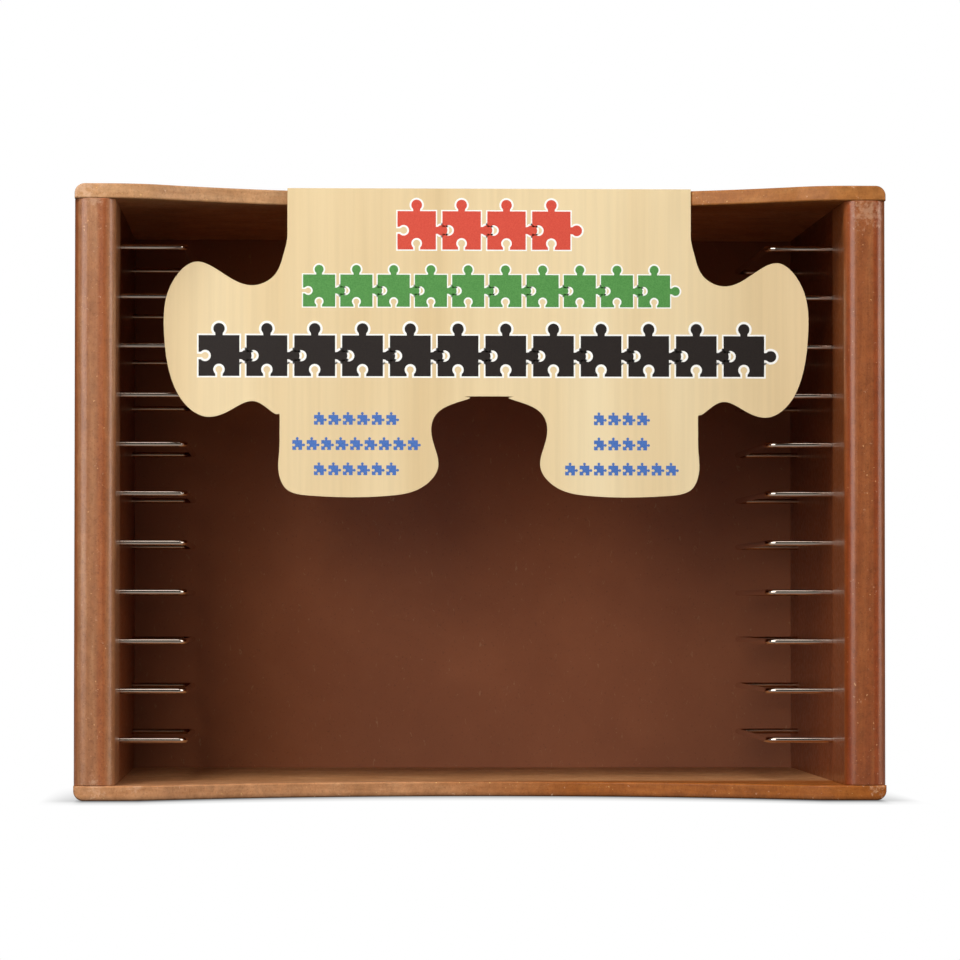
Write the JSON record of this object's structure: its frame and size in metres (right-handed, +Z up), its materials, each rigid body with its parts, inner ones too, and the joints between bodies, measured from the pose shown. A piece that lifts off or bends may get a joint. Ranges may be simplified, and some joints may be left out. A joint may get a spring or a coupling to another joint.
{
  "type": "jigsaw puzzle storage case",
  "caption": "Open-fronted brown wooden case with pairs of U-shaped wire shelves for tray jigsaw puzzles, curved finger cut-outs and a removable jigsaw-shaped display card.",
  "frame": {"origin": "centre of the bounding box at the underside of the bottom board", "axes": "+X to the right as seen from the open front, +Y from the open front to the back, +Z up"},
  "size_m": [0.344, 0.241, 0.2615],
  "materials": {
    "board_wood": "stained, satin lacquer",
    "post_wood": "stained, satin lacquer",
    "panel_wood": "stained, satin lacquer",
    "hardboard": "smooth hardboard",
    "wire": "bright nickel plating",
    "brad_steel": "plain",
    "card": "printed, light gloss"
  },
  "bodies": {
    "case": {"top_board": "board_wood", "bottom_board": "board_wood", "left_post": "post_wood", "right_post": "post_wood", "left_panel": "panel_wood", "right_panel": "panel_wood", "back_panel": "hardboard", "left_wire_01": "wire", "left_wire_02": "wire", "left_wire_03": "wire", "left_wire_04": "wire", "left_wire_05": "wire", "left_wire_06": "wire", "left_wire_07": "wire", "left_wire_08": "wire", "left_wire_09": "wire", "left_wire_10": "wire", "left_wire_11": "wire", "right_wire_01": "wire", "right_wire_02": "wire", "right_wire_03": "wire", "right_wire_04": "wire", "right_wire_05": "wire", "right_wire_06": "wire", "right_wire_07": "wire", "right_wire_08": "wire", "right_wire_09": "wire", "right_wire_10": "wire", "right_wire_11": "wire", "top_left_brads": "brad_steel", "top_right_brads": "brad_steel", "bottom_left_brads": "brad_steel", "bottom_right_brads": "brad_steel", "back_brads": "brad_steel"},
    "card": {"display_card": "card"}
  },
  "joints": [
    {"name": "card_pull", "type": "slide", "parent": "case", "child": "card", "axis": [0, -1, 0], "range_m": [0, 0.08]}
  ]
}
